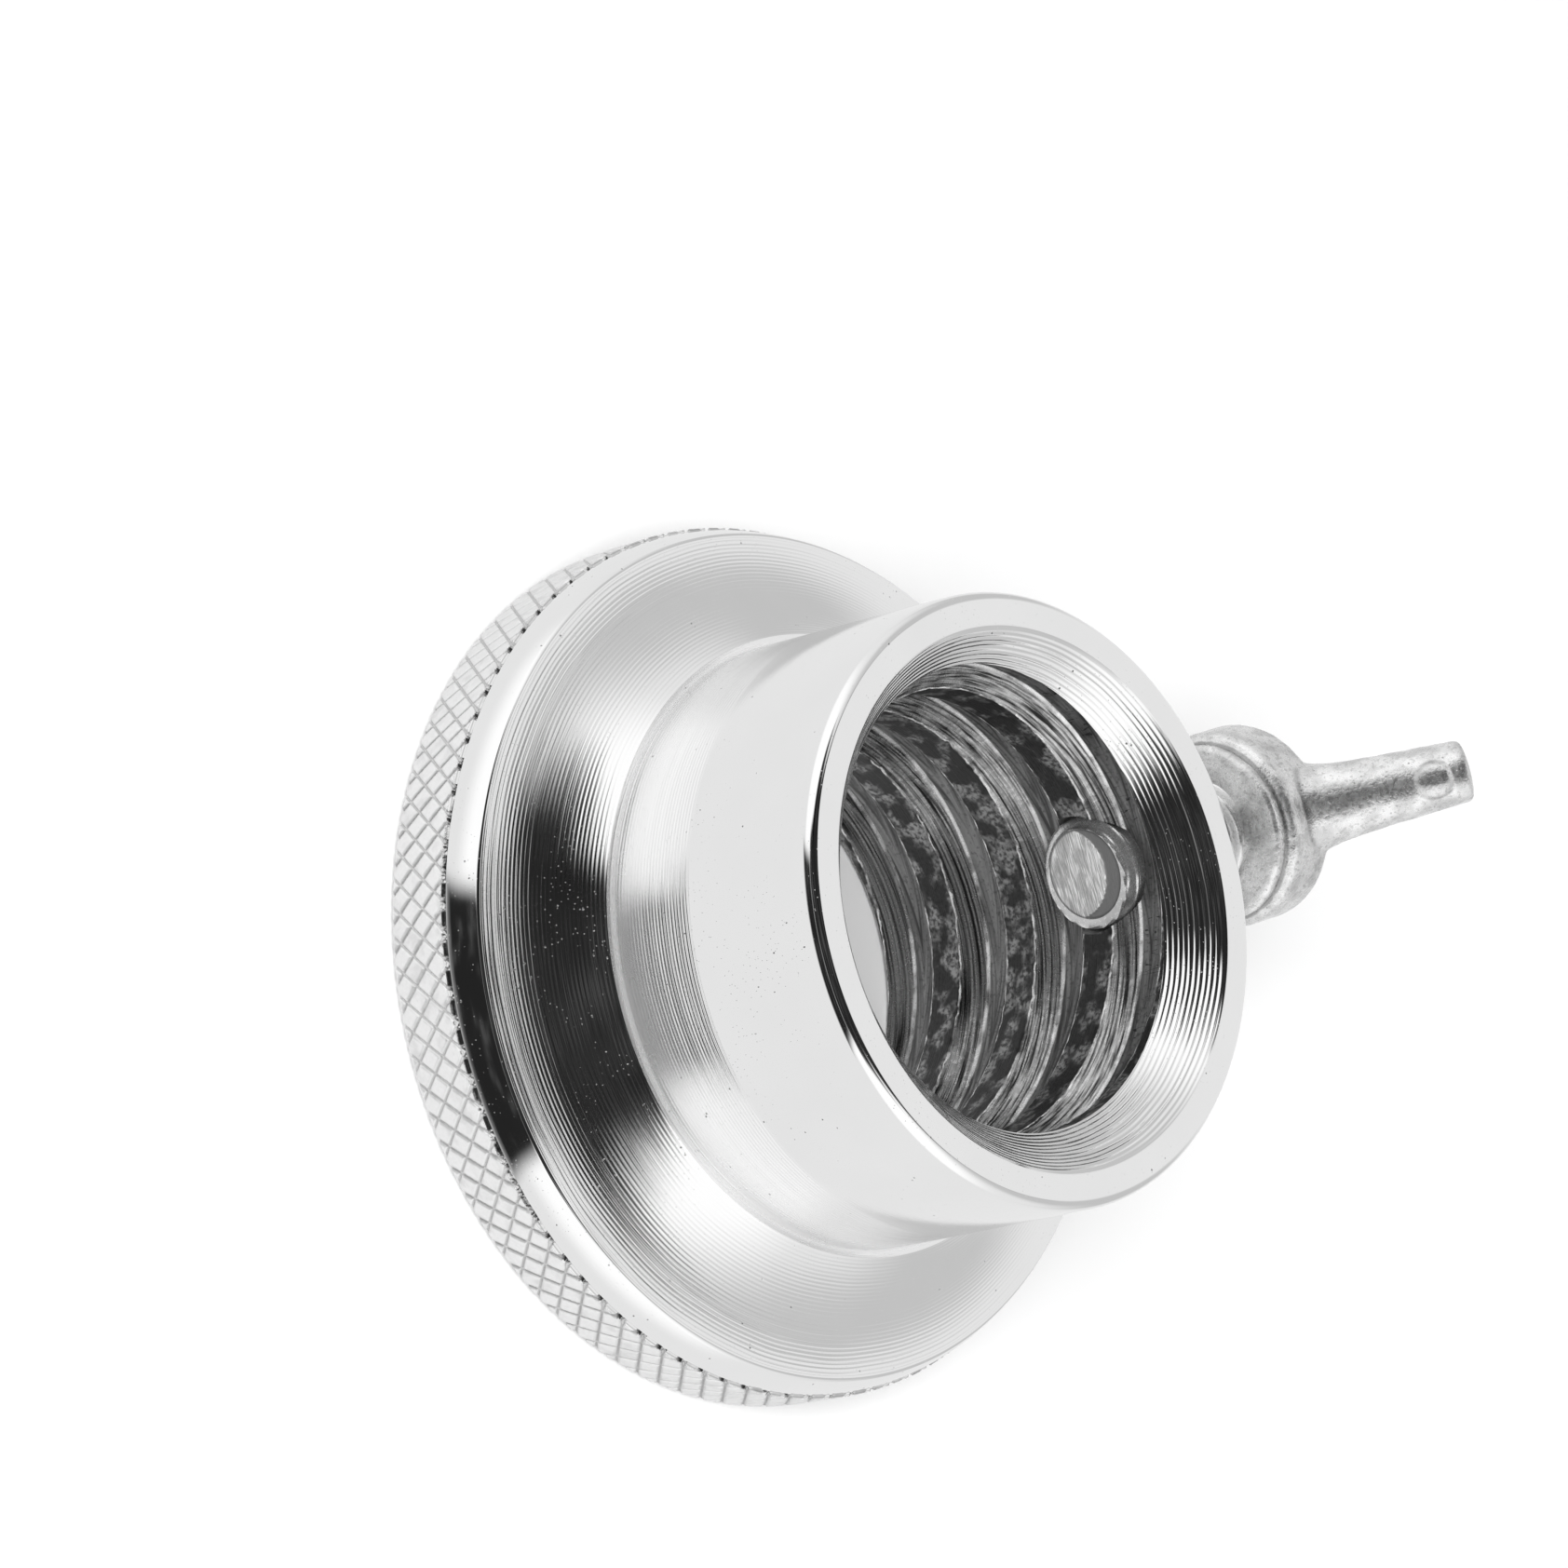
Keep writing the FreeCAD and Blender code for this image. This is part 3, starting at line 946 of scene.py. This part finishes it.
def grey(value):
    return (value, value, value, 1)


def chrome():
    """Bright chrome plate over turned steel: lathe grooves, fine pits and faint smears."""
    paint = Paint("chrome_plate")
    along = paint.attribute("along")
    strength = paint.attribute("strength")
    row = paint.in_rows(along)
    drift = paint.times(paint.noise(7.0, 1.0), TURNING_DRIFT)
    ridges = paint.math("SINE", paint.scaled(along, TURN / TURNING_PITCH, drift))
    ridges = paint.scaled(ridges, 0.5, 0.5)
    ridges = paint.times(ridges, paint.spread(paint.noise(0.6, 2.0, place=row), *TURNING_UNEVENNESS))
    normal = paint.bump(paint.times(ridges, strength), TURNING_DEPTH)
    fine = paint.times(paint.noise(0.06, 3.0, place=row), paint.ramp(strength, 0, 0.3, 0.08, 1.0))
    normal = paint.bump(fine, FINE_TURNING_DEPTH, normal)
    pits = paint.marks(0.9, (0.03, 0.10), 3.0, (0.52, 0.6))
    normal = paint.bump(pits, -PIT_DEPTH, normal)
    specks = paint.marks(0.3, (0.04, 0.13), 3.0, (0.42, 0.56))
    normal = paint.bump(specks, SPECK_HEIGHT, normal)

    smear = paint.noise(6.0, 4.0)
    tone = paint.mix(pits, paint.mix(smear, *CHROME_TONES), PIT_TONE)
    neck = paint.fade(paint.radius(), NECK_FOOT[0] + 0.1, NECK_FOOT[0] + 0.4)
    neck = paint.times(neck, paint.fade(paint.part("Z"), NECK_FOOT[1], NECK_MIDDLE[1]))
    cove = paint.times(paint.ramp(strength, 0.5, 1.0), paint.fade(strength, 1.1, 1.3))
    rough = paint.spread(smear, *CHROME_ROUGHNESS)
    rough = paint.math("ADD", rough, paint.times(cove, COVE_ROUGHENING))
    rough = paint.math("ADD", rough, paint.times(neck, NECK_ROUGHENING))
    metal = paint.scaled(neck, -NECK_DULLING, 1.0)
    tangent = paint.node("ShaderNodeTangent", {}, direction_type="RADIAL", axis="Z").outputs[0]
    return paint.set(
        Base_Color=tone, Metallic=metal, Roughness=rough, Anisotropic=0.4, Normal=normal, Tangent=tangent
    )


def knurl_chrome():
    """Chrome over the knurl: bright, slightly dull pads, with painted shade that greys the grooves by
    their depth.
    """
    paint = Paint("chrome_knurl")
    radius = paint.radius()
    grain = paint.noise(0.25, 4.0)
    broad = paint.noise(1.5, 3.0)
    # Painted shade: the groove walls are greyed by their depth, the groove floor less so
    groove = paint.fade(radius, FLANGE_RADIUS - 0.15, FLANGE_RADIUS - 0.05)
    bottom = paint.fade(radius, FLANGE_RADIUS - 0.17, FLANGE_RADIUS - 0.13)
    groove = paint.math("SUBTRACT", groove, paint.times(bottom, 0.75))
    tone = paint.mix(groove, paint.mix(grain, *KNURL_TONES), KNURL_GROOVE_SHADE_TONE)
    tone = paint.mix(paint.ramp(broad, 0.50, 0.70, 0.0, 0.5), tone, KNURL_SMEAR_TONE)
    edge = paint.ramp(paint.part("Z"), KNURL_TOP - 0.4, KNURL_TOP - 0.15)
    rough = paint.scaled(edge, -0.2, paint.spread(grain, *KNURL_ROUGHNESS))
    metal = paint.scaled(edge, 0.45, 0.55)
    normal = paint.bump(grain, KNURL_GRAIN_DEPTH)
    return paint.set(Base_Color=tone, Metallic=metal, Roughness=rough, Normal=normal)


def worn_bore():
    """The dark, worn thread in the bore, with painted highlights along its edges; "along" is the distance
    from the groove's middle.
    """
    paint = Paint("bore_thread")
    along = paint.attribute("along")
    row = paint.in_rows(along)
    ridges = paint.noise(0.10, 3.0, place=paint.shifted(row, paint.place, 0.04))
    streaks = paint.noise(0.3, 3.0, place=paint.shifted(row, paint.place, 0.12))
    grain = paint.noise(0.3, 4.0)
    broad = paint.noise(2.2, 3.0)

    flank = ROOT_HALF_WIDTH + THREAD_DEPTH
    edge = paint.math("ADD", along, paint.scaled(paint.noise(0.7, 3.0), 0.3, -0.15))
    crest = paint.ramp(edge, flank - 0.06, flank + 0.04)
    root = paint.fade(edge, ROOT_HALF_WIDTH - 0.08, ROOT_HALF_WIDTH + 0.05)

    torn = paint.shifted(paint.place, paint.noise_vector(1.1), 1.0)
    patch = paint.noise(1.7, 1.0, stretch=(1, 1, 1.2), place=torn)
    patch = paint.ramp(paint.math("ADD", patch, paint.scaled(broad, 0.7, -0.35)), 0.43, 0.66)
    dark_crest = paint.mix(grain, *DARK_CREST_TONES)
    bare_crest = paint.mix(paint.ramp(grain, 0.35, 0.65), *BARE_CREST_TONES)
    crest_tone = paint.mix(patch, dark_crest, bare_crest)
    flank_tone = paint.mix(paint.ramp(ridges, 0.32, 0.68), *FLANK_TONES)
    root_tone = paint.mix(paint.spread(streaks), *ROOT_TONES)
    root_tone = paint.mix(paint.times(paint.fade(grain, 0.3, 0.5), 0.6), root_tone, ROOT_DIRT_TONE)
    tone = paint.mix(root, paint.mix(crest, flank_tone, crest_tone), root_tone)

    # Painted highlights: thin bright lines along the groove's corners and the crests' edges
    corner = paint.fade(paint.apart(along, ROOT_HALF_WIDTH + 0.08), 0.03, 0.15)
    corner = paint.times(corner, paint.ramp(broad, 0.35, 0.6, 0.15, 1.0))
    rim = paint.fade(paint.apart(edge, flank), 0.02, 0.09)
    rim = paint.times(rim, paint.ramp(paint.noise(1.3, 2.0), 0.42, 0.58, 0.15, 0.95))
    bright = paint.math("MAXIMUM", corner, rim)
    tone = paint.mix(bright, tone, BORE_EDGE_HIGHLIGHT_TONE)
    shiny = paint.math("MAXIMUM", bright, paint.math("SUBTRACT", 1.0, paint.math("MAXIMUM", crest, root)))
    rough = paint.math("SUBTRACT", paint.spread(grain, *BORE_ROUGHNESS), paint.times(shiny, 0.12))
    metal = paint.scaled(bright, -0.4, paint.scaled(shiny, 0.15, 0.7))

    lines = paint.fade(paint.apart(paint.noise(0.55, 1.0, stretch=(1, 1, 0.12)), 0.5), 0.006, 0.02)
    broken = paint.ramp(paint.noise(0.6, 2.0), 0.5, 0.56)
    near_mouth = paint.times(paint.ramp(paint.part("Z"), *CRACKED_HEIGHTS), root)
    cracks = paint.times(paint.times(lines, broken), near_mouth)
    tone = paint.mix(paint.times(cracks, 0.85), tone, CRACK_TONE)
    normal = paint.bump(ridges, BORE_RIDGE_HEIGHT)
    normal = paint.bump(paint.times(patch, crest), PATCH_HEIGHT, normal)
    normal = paint.bump(grain, BORE_GRAIN_DEPTH, normal)
    return paint.set(
        Base_Color=tone, Metallic=metal, Roughness=rough, Specular_IOR_Level=0.2, Normal=normal
    )


def zinc_thread():
    """Zinc-plated screw thread; "along" is how far it lies under the ground chamfer at the end."""
    paint = Paint("screw_zinc")
    chamfer = paint.fade(paint.attribute("along"), 0.0, 0.05)
    grain = paint.noise(0.3, 4.0)
    tone = paint.mix(chamfer, paint.mix(grain, *THREAD_TONES), paint.mix(grain, *CHAMFER_TONES))
    rough = paint.spread(grain, *THREAD_ROUGHNESS)
    metal = paint.scaled(chamfer, -0.6, 0.9)
    normal = paint.bump(grain, THREAD_GRAIN_DEPTH)
    return paint.set(Base_Color=tone, Metallic=metal, Roughness=rough, Normal=normal)


def ground_tip():
    """The screw's end, ground bare; "along" is the share of its radius."""
    paint = Paint("screw_tip")
    scratches = paint.ramp(paint.noise(0.09, 3.0, stretch=(0.07, 1.0, 1.0)), 0.36, 0.64)
    worn = paint.ramp(paint.noise(1.1, 5.0, stretch=(0.6, 1.0, 1.0)), 0.47, 0.58)
    grain = paint.noise(0.12, 4.0)
    border = paint.ramp(paint.attribute("along"), 0.93, 0.98)
    lowered = paint.ramp(paint.part("Y"), TIP_DISTANCE + 0.04, TIP_DISTANCE + 0.11)
    tone = paint.mix(scratches, *GROUND_TONES)
    tone = paint.mix(paint.times(worn, 0.5), tone, paint.mix(grain, *WORN_TIP_TONES))
    tone = paint.mix(lowered, tone, paint.mix(grain, *CRESCENT_TONES))
    tone = paint.mix(paint.times(border, 0.8), tone, TIP_BORDER_TONE)
    rough = paint.spread(grain, *TIP_ROUGHNESS)
    normal = paint.bump(grain, TIP_GRAIN_DEPTH, paint.bump(scratches, SCRATCH_DEPTH))
    return paint.set(Base_Color=tone, Metallic=0.1, Roughness=rough, Normal=normal)


def zinc_casting():
    """Satin zinc plate over a fine cast skin, with painted shade in its hollows; "along" is how hollow it
    is.
    """
    paint = Paint("zinc_casting")
    fine = paint.noise(0.11, 3.0)
    grain = paint.noise(0.3, 5.0)
    broad = paint.noise(1.3, 4.0)
    specks = paint.marks(0.4, (0.06, 0.2), 1.1, (0.48, 0.62))
    # Painted shade: hollows and creases darkened by how hollow they are, broken up by grain
    hollow_shade = paint.ramp(paint.scaled(grain, 0.6, paint.attribute("along")), 0.5, 1.1)
    tone = paint.mix(paint.ramp(broad, 0.35, 0.65), *CAST_TONES)
    tone = paint.mix(paint.ramp(grain, 0.3, 0.5, 0.55, 0.0), tone, CAST_GRAIN_TONE)
    tone = paint.mix(paint.times(specks, 0.5), tone, CAST_SPECK_AND_SHADE_TONE)
    tone = paint.mix(paint.times(hollow_shade, 0.7), tone, CAST_SPECK_AND_SHADE_TONE)
    rough = paint.spread(grain, *CAST_ROUGHNESS)
    normal = paint.bump(grain, CAST_GRAIN_DEPTH)
    normal = paint.bump(fine, CAST_FINE_DEPTH, normal)
    normal = paint.bump(specks, -CAST_PIT_DEPTH, normal)
    return paint.set(Base_Color=tone, Metallic=0.9, Roughness=rough, Normal=normal)


# -------- stage


def pale_floor():
    mesh = bpy.data.meshes.new("floor")
    sides = ((-1, -1), (1, -1), (1, 1), (-1, 1))
    corners = [(x * FLOOR_REACH, y * FLOOR_REACH, -FLOOR_GAP) for x, y in sides]
    mesh.from_pydata(corners, [], [(0, 1, 2, 3)])
    paint = Paint("floor_pale")
    tone = paint.mix(paint.noise(FLOOR_SMEAR), *FLOOR_TONES)
    mesh.materials.append(paint.set(Base_Color=tone, Roughness=FLOOR_ROUGHNESS))
    floor = linked("floor", mesh)
    floor.visible_glossy = False


def studio_surroundings():
    """A pale tent with a dark gap that runs from the camera over the top."""
    world = bpy.data.worlds.new("tent")
    bpy.context.scene.world = world
    nodes = Nodes(world)
    ray = nodes.node("ShaderNodeTexCoord", {}).outputs["Generated"]
    ahead = Vector((math.sin(CAMERA_HEADING), math.cos(CAMERA_HEADING), 0))
    forward = nodes.measure("DOT_PRODUCT", ray, ahead)
    rightward = nodes.measure("DOT_PRODUCT", ray, (ahead.y, -ahead.x, 0))
    sideways = nodes.math("ABSOLUTE", rightward)
    up = nodes.measure("DOT_PRODUCT", ray, (0, 0, 1))

    beside = nodes.math("SUBTRACT", sideways, nodes.ramp(up, *GAP_HEIGHTS, *GAP_HALF_WIDTHS))
    ends = nodes.math("MAXIMUM", nodes.ramp(forward, *GAP_FAR_END), nodes.fade(up, *GAP_LOW_END))
    onward = nodes.math("SUBTRACT", forward, PANEL_CENTRE)
    reach = nodes.math("SQRT", nodes.scaled(sideways, sideways, nodes.times(onward, onward)))
    ends = nodes.math("MAXIMUM", ends, nodes.fade(reach, *PANEL_REACH))
    opened = nodes.math("MAXIMUM", nodes.ramp(beside, *GAP_EDGE), ends)

    above_floor = nodes.ramp(up, *LOW_FADE)
    strip = nodes.times(nodes.ramp(beside, *STRIP_EDGE), nodes.fade(forward, *STRIP_END))
    strip = nodes.times(strip, above_floor)
    shade = nodes.times(nodes.ramp(sideways, *SHADE_INNER), nodes.fade(sideways, *SHADE_OUTER))
    shade = nodes.times(nodes.times(shade, nodes.ramp(forward, *SHADE_START)), above_floor)
    tent = nodes.scaled(strip, STRIP_EXTRA, TENT_LEVEL)
    tent = nodes.scaled(shade, -SHADE_DEPTH, tent)
    for foot, top, left, right, far in (LOW_FLAG, HIGH_FLAG):
        flag = nodes.times(nodes.ramp(up, *foot), nodes.fade(up, *top))
        flag = nodes.times(flag, nodes.ramp(rightward, *left))
        flag = nodes.times(flag, nodes.fade(rightward, *right))
        flag = nodes.times(flag, nodes.fade(forward, *far))
        tent = nodes.times(tent, nodes.scaled(flag, -FLAG_DEPTH, 1.0))

    clutter = nodes.node("ShaderNodeTexNoise", {"Vector": ray, "Scale": CLUTTER_SCALE}).outputs["Fac"]
    gap = nodes.scaled(nodes.ramp(clutter, *CLUTTER_STEP), CLUTTER_LEVEL, GAP_LEVEL)
    band = nodes.fade(nodes.apart(up, BAND_MIDDLE), *BAND_EDGE)
    gap = nodes.scaled(band, BAND_LEVEL, gap)
    level = nodes.scaled(opened, nodes.math("SUBTRACT", tent, gap), gap)
    seen = nodes.node("ShaderNodeLightPath", {}).outputs["Is Camera Ray"]
    shown = nodes.node("ShaderNodeMix", {0: seen, 2: level, 3: BACKDROP_LEVEL}).outputs[0]
    background = nodes.tree.nodes["Background"].inputs
    nodes.feed(background["Color"], (1, 1, 1, 1))
    nodes.feed(background["Strength"], shown)


def aim(thing, place, target, roll=0.0):
    """Puts a camera or lamp in its place and turns it towards a target."""
    facing = (Vector(target) - Vector(place)).to_track_quat("-Z", "Y")
    thing.location = place
    thing.rotation_mode = "QUATERNION"
    thing.rotation_quaternion = facing @ Quaternion((0, 0, 1), roll)


def key_lamp():
    light = bpy.data.lights.new("key", "AREA")
    light.size = KEY_SIZE
    light.energy = KEY_POWER
    lamp = linked("key", light)
    lamp.visible_glossy = False
    aim(lamp, KEY_PLACE, (0, 0, 0))


def photo_camera():
    data = bpy.data.cameras.new("camera")
    data.lens = CAMERA_LENS
    data.sensor_width = SENSOR_WIDTH
    data.clip_start, data.clip_end = CAMERA_CLIP
    camera = linked("camera", data)
    place, target = Vector(CAMERA_PLACE) * MM, Vector(CAMERA_TARGET) * MM
    aim(camera, place, target, math.radians(CAMERA_ROLL))
    bpy.context.scene.camera = camera


turned = collar_mesh([chrome(), worn_bore()])
finished_piece("collar_turned", turned, "collar", "collar_body")
knurled = knurl_mesh([knurl_chrome()])
finished_piece("collar_knurl", knurled, "collar", "collar_body")
threaded = stud_mesh([zinc_thread(), ground_tip()])
finished_piece("screw_threaded", threaded, "wing", "screw_stud")
cast = wing_mesh([zinc_casting()])
finished_piece("wing_cast", cast, "wing", "wing_head")

photo_camera()
studio_surroundings()
pale_floor()
key_lamp()
bpy.context.scene.view_settings.view_transform = "Standard"
